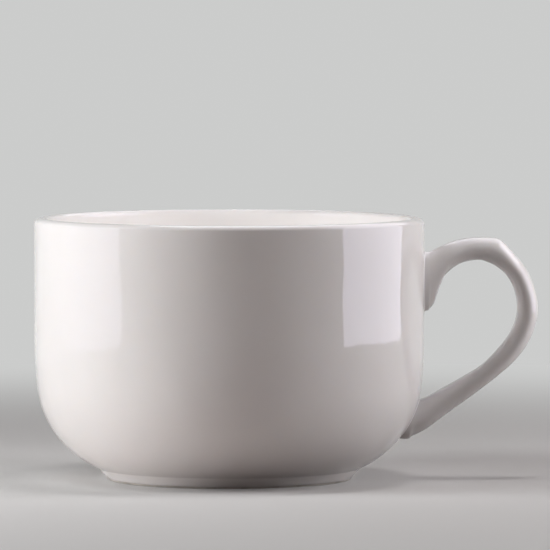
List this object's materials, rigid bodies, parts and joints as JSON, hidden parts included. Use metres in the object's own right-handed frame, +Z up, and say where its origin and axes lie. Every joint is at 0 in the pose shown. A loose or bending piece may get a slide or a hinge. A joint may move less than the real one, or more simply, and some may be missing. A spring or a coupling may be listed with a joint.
{
  "type": "soup mug",
  "caption": "Wide porcelain soup mug: straight wall, rounded belly, low foot ring and an ear-shaped handle with a thumb rest, luted on with slip.",
  "frame": {"origin": "centre of the foot ring's bearing band, on the plane that the mug stands on", "axes": "+Z up along the bowl's axis, +X from that axis towards the handle, +Y to the left of somebody who looks out along +X"},
  "size_m": [0.155, 0.12, 0.0805],
  "materials": {
    "white_glaze": "clear gloss glaze over white porcelain",
    "fired_slip": "fired porcelain slip under the same glaze"
  },
  "bodies": {
    "root": {"mug_body": "white_glaze", "handle": "white_glaze", "upper_slip_joint": "fired_slip", "lower_slip_joint": "fired_slip"}
  },
  "joints": []
}
